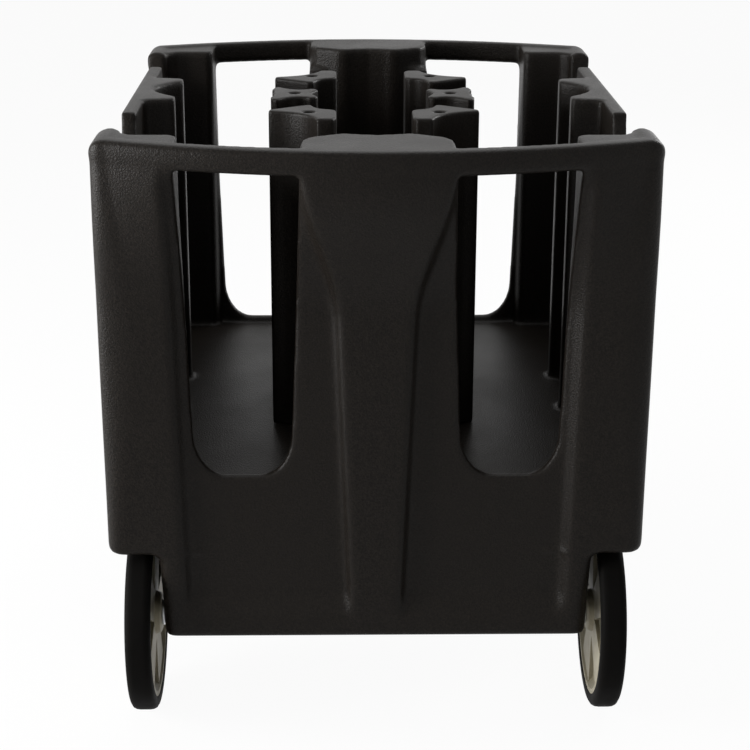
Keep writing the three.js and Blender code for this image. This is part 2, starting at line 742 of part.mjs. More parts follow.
function casterPlate() {
  const plate = box(PLATE_WIDTH, PLATE_LENGTH, PLATE_THICKNESS, 0, 0, plateTop - PLATE_THICKNESS / 2);
  const u = PLATE_WIDTH / 2 - PLATE_BOLT_INSET;
  const v = PLATE_LENGTH / 2 - PLATE_BOLT_INSET;
  const drill = (x, y, radius, sides) => new THREE.CylinderGeometry(radius, radius, 40, sides)
    .rotateX(Math.PI / 2).translate(x, y, plateTop);
  const corners = [[-u, -v], [-u, v], [u, -v], [u, v]];
  const holes = corners.map(([x, y]) => drill(x, y, BOLT_RADIUS + SEAT_GAP, 6));
  return cut(plate, [...holes, drill(0, 0, KINGPIN_RADIUS + RUN_GAP, 12)]);
}

function casterRace() {
  const inner = KINGPIN_RADIUS + RUN_GAP;
  const middle = raceTop - RACE_HEIGHT / 2;
  const bottom = raceTop - RACE_HEIGHT;
  const profile = [
    [inner, bottom],
    [RACE_RADIUS - 4, bottom],
    [RACE_RADIUS, middle],
    [RACE_RADIUS - 4, raceTop],
    [inner, raceTop],
    [inner, bottom],
  ];
  return turnedAboutZ(profile, 16);
}

function casterFork() {
  const crown = turnedAboutZ([
    [0, forkTop - FORK_THICKNESS],
    [FORK_CROWN_RADIUS, forkTop - FORK_THICKNESS],
    [FORK_CROWN_RADIUS, forkTop],
    [0, forkTop],
  ], 16);
  const outline = new THREE.Shape();
  outline.moveTo(-FORK_CROWN_RADIUS + 2, forkTop);
  outline.lineTo(-CASTER_TRAIL - 13, CASTER_RADIUS + 4);
  outline.absarc(-CASTER_TRAIL, CASTER_RADIUS, 13, Math.PI * 0.9, Math.PI * 1.85, false);
  outline.lineTo(FORK_CROWN_RADIUS - 2, forkTop - 14);
  outline.lineTo(FORK_CROWN_RADIUS - 2, forkTop);
  const legs = [-1, 1].map((side) => {
    const outer = side * (legX + FORK_THICKNESS);
    const inner = side * legX;
    return alongX(outline, Math.min(inner, outer), Math.max(inner, outer), 8);
  });
  const bridge = box(2 * legX + 1, 2 * FORK_CROWN_RADIUS - 4, FORK_THICKNESS, 0, 0, forkTop - FORK_THICKNESS / 2);
  const bolt = new THREE.CylinderGeometry(CASTER_BOLT_RADIUS + SEAT_GAP, CASTER_BOLT_RADIUS + SEAT_GAP, 100, 12)
    .rotateZ(Math.PI / 2).translate(0, -CASTER_TRAIL, CASTER_RADIUS);
  const pinHole = new THREE.CylinderGeometry(KINGPIN_RADIUS + RUN_GAP, KINGPIN_RADIUS + RUN_GAP, 60, 16)
    .rotateX(Math.PI / 2).translate(0, 0, forkTop);
  return cut(join([crown, bridge, ...legs]), [bolt, pinHole]);
}

function casterKingpin() {
  const under = forkTop - FORK_THICKNESS - RUN_GAP;
  const top = plateTop - 1;
  return turnedAboutZ([
    [0, under - 4],
    [KINGPIN_HEAD, under - 4],
    [KINGPIN_HEAD, under],
    [KINGPIN_RADIUS, under],
    [KINGPIN_RADIUS, top],
    [0, top],
  ], 12);
}

function casterTyre() {
  const half = CASTER_WIDTH / 2;
  const inner = CASTER_RADIUS - CASTER_TYRE;
  return turnedAboutX([
    [inner, -half + 2],
    [CASTER_RADIUS - 4, -half + 2],
    [CASTER_RADIUS, -half + 7],
    [CASTER_RADIUS, half - 7],
    [CASTER_RADIUS - 4, half - 2],
    [inner, half - 2],
    [inner, -half + 2],
  ], 24);
}

function casterCore() {
  const half = CASTER_WIDTH / 2;
  const outer = CASTER_RADIUS - CASTER_TYRE - SEAT_GAP;
  const bore = CASTER_BOLT_RADIUS + RUN_GAP;
  const hub = half + FORK_CLEARANCE - SEAT_GAP;
  return turnedAboutX([
    [bore, -hub],
    [CASTER_HUB_RADIUS, -hub],
    [CASTER_HUB_RADIUS, -5],
    [outer - 7, -5],
    [outer - 5, -half + 2],
    [outer, -half + 2],
    [outer, half - 2],
    [outer - 5, half - 2],
    [outer - 7, 5],
    [CASTER_HUB_RADIUS, 5],
    [CASTER_HUB_RADIUS, hub],
    [bore, hub],
    [bore, -hub],
  ], 24);
}

function casterBolt() {
  const side = legX + FORK_THICKNESS + SEAT_GAP;
  return turnedAboutX([
    [0, -side - 5],
    [9, -side - 5],
    [9, -side],
    [CASTER_BOLT_RADIUS, -side],
    [CASTER_BOLT_RADIUS, side],
    [9, side],
    [9, side + 5],
    [0, side + 5],
  ], 12);
}

// ---------------------------------------------------------------- assembly
const plastic = { color: 0x17171a, roughness: 0.62, metalness: 0 };
const postPlastic = { color: 0x1b1b1e, roughness: 0.58, metalness: 0 };
const tyreRubber = { color: 0x0c0c0d, roughness: 0.85, metalness: 0 };
const greyPlastic = { color: 0xa8a69a, roughness: 0.5, metalness: 0 };
const zinc = { color: 0xb9bcc0, roughness: 0.35, metalness: 1 };
const nylon = { color: 0xd8d6cc, roughness: 0.5, metalness: 0 };
const casterRubber = { color: 0x3b3b3d, roughness: 0.8, metalness: 0 };

const cart = new THREE.Group();

function add(name, geometry, finish, place = [0, 0, 0], parent = cart) {
  const solid = closedGeometry(geometry);
  solid.computeVertexNormals();
  const mesh = new THREE.Mesh(solid, new THREE.MeshStandardMaterial(finish));
  mesh.name = name;
  mesh.position.set(...place);
  parent.add(mesh);
  return mesh;
}

add('body_shell', bodyShell(), plastic);

const sides = [['left', -1], ['right', 1]];
const ends = [['front', -1], ['back', 1]];

for (const [sideName, side] of sides) {
  const middle = dividerPost(middlePostShape(), middlePostPegs);
  const outward = side < 0 ? mirroredX(middle) : middle;
  add(`divider_post_${sideName}_middle`, outward, postPlastic, [side * MIDDLE_POST_X, 0, 0]);
  for (const [endName, end] of ends) {
    const post = dividerPost(endPostShape(), endPostPegs).scale(side, end, 1);
    const place = [side * END_POST_X, end * END_POST_Y, 0];
    add(`divider_post_${sideName}_${endName}`, post, postPlastic, place);
  }
}

add('axle', axle(), zinc, [0, WHEEL_Y, WHEEL_RADIUS]);

for (const [sideName, side] of sides) {
  const place = [side * WHEEL_X, WHEEL_Y, WHEEL_RADIUS];
  const facing = (geometry) => (side < 0 ? mirroredX(geometry) : geometry);
  add(`wheel_tyre_${sideName}`, wheelTyre(), tyreRubber, place);
  add(`wheel_centre_${sideName}`, wheelCentre(), greyPlastic, place);
  add(`wheel_bush_${sideName}`, wheelBush(), nylon, place);
  add(`axle_cap_${sideName}`, facing(axleCap()), zinc, place);
  add(`axle_washer_${sideName}`, facing(axleWasher()), zinc, place);
  add(`axle_collar_${sideName}`, facing(axleCollar()), zinc, place);
  add(`axle_strap_${sideName}`, axleStrap(), zinc, [side * STRAP_X, WHEEL_Y, 0]);
}

for (const [sideName, side] of sides) {
  const caster = new THREE.Group();
  caster.position.set(side * CASTER_X, CASTER_Y, 0);
  cart.add(caster);
  const wheelPlace = [0, -CASTER_TRAIL, CASTER_RADIUS];
  add(`caster_plate_${sideName}`, casterPlate(), zinc, [0, 0, 0], caster);
  add(`caster_race_${sideName}`, casterRace(), zinc, [0, 0, 0], caster);
  add(`caster_fork_${sideName}`, casterFork(), zinc, [0, 0, 0], caster);
  add(`caster_kingpin_${sideName}`, casterKingpin(), zinc, [0, 0, 0], caster);
  add(`caster_tyre_${sideName}`, casterTyre(), casterRubber, wheelPlace, caster);
  add(`caster_core_${sideName}`, casterCore(), greyPlastic, wheelPlace, caster);
  add(`caster_bolt_${sideName}`, casterBolt(), zinc, wheelPlace, caster);
}

strapBoltPlaces.forEach(([x, y], i) => {
  add(`axle_strap_bolt_${i + 1}`, mountingBolt(STRAP_THICKNESS), zinc, [x, y, 0]);
});

plateBoltPlaces.forEach(([x, y], i) => {
  add(`caster_plate_bolt_${i + 1}`, mountingBolt(PLATE_THICKNESS), zinc, [x, y, 0]);
});

export default cart;
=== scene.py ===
import json
import math

import bmesh
import bpy
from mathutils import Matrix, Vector


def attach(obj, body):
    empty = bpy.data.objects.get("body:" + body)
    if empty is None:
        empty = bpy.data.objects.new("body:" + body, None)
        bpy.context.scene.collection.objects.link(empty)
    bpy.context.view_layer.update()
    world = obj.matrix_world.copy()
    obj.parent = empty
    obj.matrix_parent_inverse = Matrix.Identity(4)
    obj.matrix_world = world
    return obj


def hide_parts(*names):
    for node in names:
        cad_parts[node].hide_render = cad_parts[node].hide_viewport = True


# Blender scene of the plate dispenser cart: the moulded body, posts and wheels in their
# finer form, materials, lights and camera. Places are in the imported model's own frame,
# with +Z up. Shapes are written in millimetres.

MM = 0.001

# ---------------------------------------------------------------- moulded body
CART_HEIGHT = 832
CORNER_X = 362  # faces of the corner columns
SIDE_X = 342.5  # side panels, behind the corner columns
END_Y = 391.5  # end walls, below the handles
HANDLE_BOW = 83  # how far a handle stands out of its end wall at mid width
BAR_BOTTOM = 806
BAR_DEPTH = 26
BEAD = 1.5  # how far the rim stands out of the wall below it
INNER_TOP = 829  # tops inside the rim
RIM_RINGS = (  # heights, and how far the rim stands out there
    (BAR_BOTTOM + 3, BEAD),
    (CART_HEIGHT - 6, BEAD),
    (CART_HEIGHT - 1.5, BEAD - 2),
    (CART_HEIGHT, BEAD - 5),
)
FLARE_START = 590  # height where an end wall starts to lean out
COLUMN_BACK = 314.5  # where a corner column starts, from mid length
COLUMN_EASE = 18  # length of the slope from a side panel to it
CORNER_DEPTH = 18  # round of a corner column, along the cart
CORNER_REACH = 20  # the same across the cart
CORNER_SWELL = 30  # what is added to that reach where a column is roundest
COLUMN_SWELL = 1.5
SKIRT_BOTTOM = 263
SKIRT_ROUND = 9
SKIRT_FILLET = 12
BASE_HALF_WIDTH = 293.5
BASE_TAPER = 5
BASE_CORNER_RADIUS = 14
BASE_ROUND = 4
UNDERSIDE = 146.3  # where the axle straps and the caster plates sit
END_LIP_DROP = 5  # how much lower the two end walls reach
END_LIP_DEPTH = 30
PANEL_DEPTH = 15
PANEL_BOTTOM = 160
PANEL_LEDGE = 48
PANEL_EDGE_TOP = 276
PANEL_EDGE_BOTTOM = 262
PANEL_SLOPE = 17
PANEL_EASE = 31  # where a panel comes out again under the handle
FLANK = 11  # width of the slope from the middle column to a panel
MIDDLE_COLUMN_BOTTOM = 29
MIDDLE_COLUMN_TOP = 56
FUNNEL_SPREAD = 37
WINDOW_TOP = 799.5
WINDOW_BOTTOM = 372
WINDOW_CORNER = (44, 62)
WINDOW_INNER = (97, 112)  # from mid width, at the top and at the bottom
WINDOW_OUTER = (255, 244)
WINDOW_START = 12  # how far inside a well's end a window's cut starts
FLOOR_HEIGHT = 362
CAVITY_X = 322.5
SLOT_END_Y = 360.5
FIN_REACH = 42
FIN_NEAR = 62
FIN_FAR = 88
FIN_DRAFT = 6
FIN_TIP = (4, 3)  # bevel at a fin's tip
FIN_ROOT = (3, 6)  # bevel at its root
POCKET_X = 315.5
BLOCK_BACK = 343  # the wells reach this far into the corner blocks
BLOCK_X = 328
BLOCK_CORNER = 14
BLOCK_STEP = 8
TOP_CORNER = 20  # round of the rim's outer corners, seen from the end
BACK_NARROWING = 5  # how much nearer to mid width the back corner columns stand
RIDGE_X = 42
RIDGE_DEPTH = 10
RIDGE_PROFILE = (  # outward from the ridge, and how far it stands into the well
    (22, 0), (8, RIDGE_DEPTH - 2), (-4, RIDGE_DEPTH), (-16, RIDGE_DEPTH / 2),
)
SHOULDER = ((0, 46), (-3, 30), (-11, 14))  # from a window's edge and a well's end
HOLLOW_START = 20  # how far beyond the corner column's back a hollow starts
HOLLOW_INNER = 4  # how far outside the ridge it starts
HOLLOW_OVERLAP = 2  # how far it reaches down into the windows
PILLAR_MARGIN = 3
DIP_DEPTH = 56
DIP_START = 195
DIP_SLOPE = 16
DIP_LIP = 10  # how far down the near end of a dip stays upright
DIP_HEEL = 14  # height of the slope at its far end
ARCH_CLEARANCE = 14  # between a large wheel and its arch
BEYOND = 950  # clear of the outside, for cutting tools
ABOVE = 860

# How finely the body's curves are cut, before the skin goes over them
WALL_STEPS = 76
ARC_STEPS = 10
CREASE_STEPS = 4
BASE_STEPS = 12
LEVEL_STEP = 12  # height between the rings of the walls
POCKET_STEPS = 10
BAR_STEPS = 12
WINDOW_STEPS = 14
ARCH_STEPS = 64
MID_ROUND = 0.3  # an arc's middle lies this share of its radius inside its corner

# ---------------------------------------------------------------- posts and wheels
END_POST = (90, 150)  # place of a post's hole, from the middle of the cart
MIDDLE_POST = (113, 0)
POST_FOOT = 362.3
POST_TOP = 822
POST_HOLE = (8, 16)  # radius and depth
CURVE_STEPS = 8
HOLE_STEPS = 32
WHEEL_AXIS = (322, -300, 136)
CASTER_AXIS = (215, 266, 57)
ROUND_STEPS = 96
WHEEL_SPOKES = 5
SPOKE_HALF = 13.5  # half thickness of a wheel centre at a spoke
SPOKE_TURN = 0.3  # how far the first spoke is turned, as a share of the gap to the next
SPOKE_OUTLINE = (  # across the spoke, and outward from the wheel's axis
    (-20, 20), (20, 20), (26, 60), (36, 107), (-36, 107), (-26, 60),
)

# ---------------------------------------------------------------- finish
BODY_VOXEL = 3.6  # grain of the rounded skin that is laid over the mouldings
POST_VOXEL = 1.9
SKIN_ROUNDING = 9  # smoothing passes over that skin
SKIN_FACTOR = 0.5  # strength of each pass
WELD = 0.01  # points nearer than this are one point
EDGE_ANGLE = math.radians(35)  # sharper folds than this are eased
EDGE_SEGMENTS = 2
STEEL_EDGE = 0.6
MOULDED_EDGE = 1.2

# Colours, as linear values
BODY_DARK = (0.0036, 0.0028, 0.0022, 1)
BODY_LIGHT = (0.0140, 0.0114, 0.0092, 1)
TYRE_BLACK = (0.0024, 0.0022, 0.0020, 1)
TYRE_DUST = (0.0055, 0.0050, 0.0044, 1)
WHEEL_GREY = (0.310, 0.278, 0.198, 1)
WHEEL_DUSTY = (0.22, 0.196, 0.138, 1)
WHEEL_CLEAN = (0.36, 0.325, 0.24, 1)
CASTER_GREY = (0.052, 0.052, 0.055, 1)
CASTER_DUST = (0.10, 0.098, 0.095, 1)
ZINC = (0.60, 0.61, 0.62, 1)
ZINC_DULL = (0.42, 0.43, 0.44, 1)
NYLON = (0.68, 0.66, 0.60, 1)
NYLON_WORN = (0.55, 0.53, 0.47, 1)
BODY_GRAIN = 0.0006  # height of the moulded grain, in metres
POST_GRAIN = 0.0004
NOISE_SPAN = (0.3, 0.7)  # where the values of a noise mostly lie
PLASTIC_SHINE = 0.11
RUBBER_SHINE = 0.04
FLOOR_SIZE = 24
FLOOR_WHITE = (0.92, 0.92, 0.92, 1)
FLOOR_SHARE = 0.95  # of white in what the camera sees of the floor
WORLD_STRENGTH = 0.12

# Area lights, in metres and watts: name, place, target, width, height and power
LIGHT_TARGET = (0, 0, 0.45)
LIGHTS = (
    ("key_left", (-2.8, -0.8, 0.9), (-0.3, -0.35, 0.5), 1.6, 1.3, 140),
    ("fill_front", (-1.6, -3.4, 2.2), LIGHT_TARGET, 2.0, 1.4, 6),
    ("top_soft", (0.0, 0.6, 3.0), LIGHT_TARGET, 2.0, 2.0, 25),
    ("back_right", (2.6, 2.6, 2.0), LIGHT_TARGET, 1.6, 1.6, 60),
)

# The photograph's camera, fitted to the cart's outline
PHOTO_PIXELS = 750
FOCAL_PIXELS = 1807
SENSOR = 36.0
CAMERA_PLACE = Vector((-0.0476, -2.623, 1.278))
CAMERA_PITCH = math.radians(18.74)
CAMERA_YAW = math.radians(-1.09)
CAMERA_ROLL = math.radians(-0.21)
CLIP_START = 0.05

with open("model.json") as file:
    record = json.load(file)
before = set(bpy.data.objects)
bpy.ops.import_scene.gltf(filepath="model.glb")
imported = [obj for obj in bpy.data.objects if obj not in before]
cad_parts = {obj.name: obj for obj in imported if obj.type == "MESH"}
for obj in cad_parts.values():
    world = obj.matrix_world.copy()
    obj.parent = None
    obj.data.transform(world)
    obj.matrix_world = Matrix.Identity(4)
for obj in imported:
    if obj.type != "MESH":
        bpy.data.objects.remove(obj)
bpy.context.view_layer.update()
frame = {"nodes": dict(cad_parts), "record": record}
nodes = frame["nodes"]


# ---------------------------------------------------------------- material helpers
def new_material(name, colour, roughness, metallic=0.0, specular=0.5):
    material = bpy.data.materials.new(name)
    material.use_nodes = True
    shader = material.node_tree.nodes["Principled BSDF"]
    shader.inputs["Base Color"].default_value = colour
    shader.inputs["Roughness"].default_value = roughness
    shader.inputs["Metallic"].default_value = metallic
    shader.inputs["Specular IOR Level"].default_value = specular
    return material, material.node_tree, shader


def object_coordinates(tree):
    return tree.nodes.new("ShaderNodeTexCoord").outputs["Object"]


def noise(tree, scale, detail=3.0, roughness=0.5):
    node = tree.nodes.new("ShaderNodeTexNoise")
    node.inputs["Scale"].default_value = scale
    node.inputs["Detail"].default_value = detail
    node.inputs["Roughness"].default_value = roughness
    tree.links.new(object_coordinates(tree), node.inputs["Vector"])
    return node.outputs["Fac"]


def voronoi(tree, scale):
    node = tree.nodes.new("ShaderNodeTexVoronoi")
    node.feature = "SMOOTH_F1"
    node.inputs["Scale"].default_value = scale
    tree.links.new(object_coordinates(tree), node.inputs["Vector"])
    return node.outputs["Distance"]


def ramp(tree, factor, stops):
    node = tree.nodes.new("ShaderNodeValToRGB")
    elements = node.color_ramp.elements
    elements[0].position, elements[0].color = stops[0]
    elements[1].position, elements[1].color = stops[-1]
    for position, colour in stops[1:-1]:
        elements.new(position).color = colour
    tree.links.new(factor, node.inputs["Fac"])
    return node.outputs["Color"]


def spread(tree, factor, low, high):
    """A noise, carried from where its values mostly lie to low..high."""
    node = tree.nodes.new("ShaderNodeMapRange")
    node.inputs["From Min"].default_value = NOISE_SPAN[0]
    node.inputs["From Max"].default_value = NOISE_SPAN[1]
    node.inputs["To Min"].default_value = low
    node.inputs["To Max"].default_value = high
    tree.links.new(factor, node.inputs["Value"])
    return node.outputs["Result"]


def bumps(tree, shader, layers):
    """Lays (height, distance in metres, strength) layers over one another."""
    normal = None
    for height, distance, strength in layers:
        node = tree.nodes.new("ShaderNodeBump")
        node.inputs["Distance"].default_value = distance
        node.inputs["Strength"].default_value = strength
        tree.links.new(height, node.inputs["Height"])
        if normal:
            tree.links.new(normal, node.inputs["Normal"])
        normal = node.outputs["Normal"]
    tree.links.new(normal, shader.inputs["Normal"])


# ---------------------------------------------------------------- materials
def moulded_plastic(name, grain_height):
    material, tree, shader = new_material(name, BODY_DARK, roughness=0.5, specular=PLASTIC_SHINE)
    blotches = noise(tree, scale=7, detail=4, roughness=0.6)
    grain = noise(tree, scale=420, detail=2, roughness=0.6)
    colour = ramp(tree, grain, [(0.32, BODY_DARK), (0.68, BODY_LIGHT)])
    tree.links.new(colour, shader.inputs["Base Color"])
    tree.links.new(spread(tree, blotches, low=0.35, high=0.45), shader.inputs["Roughness"])
    pebbles = voronoi(tree, scale=480)
    waves = noise(tree, scale=14, detail=1)
    bumps(tree, shader, [
        (waves, 0.002, 0.25),
        (grain, grain_height, 0.8),
        (pebbles, grain_height, 0.6),
    ])
    return material


def tyre_rubber():
    material, tree, shader = new_material(
        "tyre_rubber", TYRE_BLACK, roughness=0.5, specular=RUBBER_SHINE)
    scuffs = noise(tree, scale=30, detail=5, roughness=0.65)
    colour = ramp(tree, scuffs, [(0.35, TYRE_BLACK), (0.8, TYRE_DUST)])
    tree.links.new(colour, shader.inputs["Base Color"])
    tree.links.new(spread(tree, scuffs, low=0.58, high=0.78), shader.inputs["Roughness"])
    bumps(tree, shader, [(noise(tree, scale=600, detail=2), 0.0001, 0.5)])
    return material


def wheel_plastic():
    material, tree, shader = new_material(
        "wheel_plastic", WHEEL_GREY, roughness=0.5, specular=0.25)
    dirt = noise(tree, scale=18, detail=5, roughness=0.65)
    colour = ramp(tree, dirt, [(0.30, WHEEL_DUSTY), (0.52, WHEEL_GREY), (0.8, WHEEL_CLEAN)])
    tree.links.new(colour, shader.inputs["Base Color"])
    tree.links.new(spread(tree, dirt, low=0.58, high=0.46), shader.inputs["Roughness"])
    bumps(tree, shader, [(noise(tree, scale=300, detail=2), 0.0001, 0.4)])
    return material


def caster_rubber():
    material, tree, shader = new_material(
        "caster_rubber", CASTER_GREY, roughness=0.6, specular=RUBBER_SHINE)
    dust = noise(tree, scale=60, detail=4, roughness=0.6)
    colour = ramp(tree, dust, [(0.35, CASTER_GREY), (0.8, CASTER_DUST)])
    tree.links.new(colour, shader.inputs["Base Color"])
    tree.links.new(spread(tree, dust, low=0.55, high=0.75), shader.inputs["Roughness"])
    bumps(tree, shader, [(noise(tree, scale=700, detail=2), 0.0001, 0.5)])
    return material


def zinc_steel():
    material, tree, shader = new_material("zinc_steel", ZINC, roughness=0.3, metallic=1.0)
    bloom = noise(tree, scale=90, detail=4, roughness=0.6)
    colour = ramp(tree, bloom, [(0.3, ZINC_DULL), (0.6, ZINC)])
    tree.links.new(colour, shader.inputs["Base Color"])
    tree.links.new(spread(tree, bloom, low=0.42, high=0.24), shader.inputs["Roughness"])
    bumps(tree, shader, [(noise(tree, scale=500, detail=3), 0.00008, 0.4)])
    return material


def nylon():
    material, tree, shader = new_material("bush_nylon", NYLON, roughness=0.45)
    wear = noise(tree, scale=120, detail=3)
    colour = ramp(tree, wear, [(0.3, NYLON_WORN), (0.7, NYLON)])
    tree.links.new(colour, shader.inputs["Base Color"])
    return material


MATERIALS = {
    "body_plastic": moulded_plastic("body_plastic", BODY_GRAIN),
    "post_plastic": moulded_plastic("post_plastic", POST_GRAIN),
    "tyre_black": tyre_rubber(),
    "wheel_plastic": wheel_plastic(),
    "caster_rubber": caster_rubber(),
    "zinc_steel": zinc_steel(),
    "bush_nylon": nylon(),
}


# ---------------------------------------------------------------- mesh helpers
def lerp(start, end, share):
    return start + (end - start) * share


def map_linear(value, low, high, start, end):
    return lerp(start, end, (value - low) / (high - low))


def smoothstep(value, low, high):
    share = min(max((value - low) / (high - low), 0.0), 1.0)
    return share * share * (3 - 2 * share)


def steps(start, end, count):
    """Numbers from start to end, both kept, with equal gaps."""
    return [lerp(start, end, i / count) for i in range(count + 1)]


def new_piece(name, vertices, faces):
    """An object at the origin with a closed mesh, its faces turned outward."""
    mesh = bpy.data.meshes.new(name)
    mesh.from_pydata([Vector(v) * MM for v in vertices], [], faces)
    work = bmesh.new()
    work.from_mesh(mesh)
    bmesh.ops.remove_doubles(work, verts=work.verts, dist=WELD * MM)
    bmesh.ops.recalc_face_normals(work, faces=work.faces)
    work.to_mesh(mesh)
    work.free()
    piece = bpy.data.objects.new(name, mesh)
    bpy.context.scene.collection.objects.link(piece)
    return piece


def loft(name, rings):
    """A closed skin through rings that all have the same number of points."""
    count = len(rings[0])
    faces = [list(range(count)), [(len(rings) - 1) * count + i for i in range(count)]]
    for level in range(len(rings) - 1):
        for i in range(count):
            a = level * count + i
            b = level * count + (i + 1) % count
            faces.append((a, b, b + count, a + count))
    return new_piece(name, [point for ring in rings for point in ring], faces)


def prism(name, outline, low, high, axis="Z"):
    """A closed outline, carried from low to high along an axis."""
    along = {
        "X": lambda u, v, w: (w, u, v),
        "Y": lambda u, v, w: (u, w, v),
        "Z": lambda u, v, w: (u, v, w),
    }[axis]
    return loft(name, [[along(u, v, w) for u, v in outline] for w in (low, high)])


def turned(name, profile, centre):
    """A closed (radius, along) profile, turned about the X axis through a centre."""
    rings = []
    for radius, along in profile:
        ring = []
        for i in range(ROUND_STEPS):
            angle = 2 * math.pi * i / ROUND_STEPS
            place = (along, radius * math.cos(angle), radius * math.sin(angle))
            ring.append([place[k] + centre[k] for k in range(3)])
        rings.append(ring)
    vertices = [point for ring in rings for point in ring]
    faces = []
    for level in range(len(rings)):
        after = (level + 1) % len(rings)
        for i in range(ROUND_STEPS):
            j = (i + 1) % ROUND_STEPS
            faces.append((
                level * ROUND_STEPS + i, level * ROUND_STEPS + j,
                after * ROUND_STEPS + j, after * ROUND_STEPS + i,
            ))
    return new_piece(name, vertices, faces)


def combined(piece, tools, operation="DIFFERENCE"):
    """Cuts the tools out of a piece, or joins them to it, and removes them."""
    for tool in tools:
        change = piece.modifiers.new(tool.name, "BOOLEAN")
        change.operation = operation
        change.solver = "MANIFOLD"
        change.object = tool
    graph = bpy.context.evaluated_depsgraph_get()
    result = bpy.data.meshes.new_from_object(piece.evaluated_get(graph))
    piece.modifiers.clear()
    piece.data = result
    for tool in tools:
        bpy.data.objects.remove(tool)
    return piece


def rounded_skin(piece, voxel):
    """Every edge of a rotational moulding is round, so a soft skin is laid over the solid."""
    remesh = piece.modifiers.new("skin", "REMESH")
    remesh.mode = "VOXEL"
    remesh.voxel_size = voxel * MM
    remesh.use_smooth_shade = True
    smooth = piece.modifiers.new("rounding", "SMOOTH")
    smooth.factor = SKIN_FACTOR
    smooth.iterations = SKIN_ROUNDING


def eased_edges(piece, width):
    """A hard piece keeps its form, with a narrow round on each edge."""
    piece.data.polygons.foreach_set("use_smooth", [True] * len(piece.data.polygons))
    weld = piece.modifiers.new("weld", "WELD")
    weld.merge_threshold = WELD * MM
    bevel = piece.modifiers.new("edges", "BEVEL")
    bevel.width = width * MM
    bevel.segments = EDGE_SEGMENTS
    bevel.limit_method = "ANGLE"
    bevel.angle_limit = EDGE_ANGLE
    shading = piece.modifiers.new("shading", "WEIGHTED_NORMAL")
    shading.keep_sharp = False


def stand_in_for(piece, node, body, slot):
    """The piece takes the place, the body and the finish of a CAD node."""
    piece.data.materials.clear()
    piece.data.materials.append(MATERIALS[slot])
    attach(piece, body)
    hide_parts(node)


# ---------------------------------------------------------------- outer form
def handle_bow(x):
    return HANDLE_BOW * (1 - (x / CORNER_X) ** 2)


def middle_column(z):
    """Half width of the middle column, which spreads into a funnel under the rim."""
    straight = map_linear(z, UNDERSIDE, CART_HEIGHT, MIDDLE_COLUMN_BOTTOM, MIDDLE_COLUMN_TOP)
    return straight + FUNNEL_SPREAD * smoothstep(z, FLARE_START, BAR_BOTTOM)


def swell(z):
    """From 0 at the rim and the skirt to 1 where the corner columns are roundest."""
    return smoothstep(z, SKIRT_BOTTOM, FLARE_START) - smoothstep(z, FLARE_START, CART_HEIGHT)


def end_wall(x, z):
    """From mid length to the end wall, whose panels are sunk between the columns."""
    front = END_Y + handle_bow(x) * smoothstep(z, FLARE_START, BAR_BOTTOM)
    column = middle_column(z)
    edge = map_linear(z, UNDERSIDE, CART_HEIGHT, PANEL_EDGE_BOTTOM, PANEL_EDGE_TOP)
    beside_column = smoothstep(x, column, column + FLANK)
    beside_corner = 1 - smoothstep(x, edge - PANEL_SLOPE, edge)
    above_ledge = smoothstep(z, PANEL_BOTTOM, PANEL_BOTTOM + PANEL_LEDGE)
    under_handle = 1 - smoothstep(z, BAR_BOTTOM - PANEL_EASE, BAR_BOTTOM)
    return front - PANEL_DEPTH * beside_column * beside_corner * above_ledge * under_handle


def quarter_outline(z, corner_x, side_x, reach, depth, grow=0.0):
    """One quarter of the outline at a height, from a side's middle to an end's middle."""
    arc_x = corner_x - reach
    arc_y = end_wall(arc_x, z) - depth
    outline = [(side_x, 0)]
    for share in steps(0, 1, CREASE_STEPS):
        x = lerp(side_x, corner_x + grow, smoothstep(share, 0, 1))
        outline.append((x, COLUMN_BACK - COLUMN_EASE * (1 - share)))
    for angle in steps(0, math.pi / 2, ARC_STEPS):
        x = arc_x + (reach + grow) * math.cos(angle)
        outline.append((x, arc_y + (depth + grow) * math.sin(angle)))
    for x in steps(arc_x, 0, WALL_STEPS)[1:]:
        outline.append((x, end_wall(x, z) + grow))
    return outline


def all_quarters(back, front=None):
    """A whole outline from one quarter of it, which runs from the X axis to the Y axis."""
    front = front or back
    return (
        list(back)
        + [(-x, y) for x, y in back[-2::-1]]
        + [(-x, -y) for x, y in front[1:]]
        + [(x, -y) for x, y in front[-2:0:-1]]
    )


def base_level(z, inset=0.0, flare=0.0):
    """Outline of the narrow lower body, inset at its bottom and flared at its top."""
    half = map_linear(z, UNDERSIDE, SKIRT_BOTTOM, BASE_HALF_WIDTH - BASE_TAPER, BASE_HALF_WIDTH)
    half += flare - inset
    radius = BASE_CORNER_RADIUS
    quarter = quarter_outline(z, half, half, radius, radius, -inset)
    return [(x, y, z) for x, y in all_quarters(quarter)]


def upper_level(z, grow=0.0, inset=0.0):
    """Outline of the body from the skirt up, with its four corner columns."""
    corner_x = CORNER_X - inset + COLUMN_SWELL * swell(z)
    reach = CORNER_REACH + CORNER_SWELL * swell(z)
    side_x = SIDE_X - inset
    front = quarter_outline(z, corner_x, side_x, reach, CORNER_DEPTH, grow)
    back = quarter_outline(z, corner_x - BACK_NARROWING, side_x, reach, CORNER_DEPTH, grow)
    return [(x, y, z) for x, y in all_quarters(back, front)]


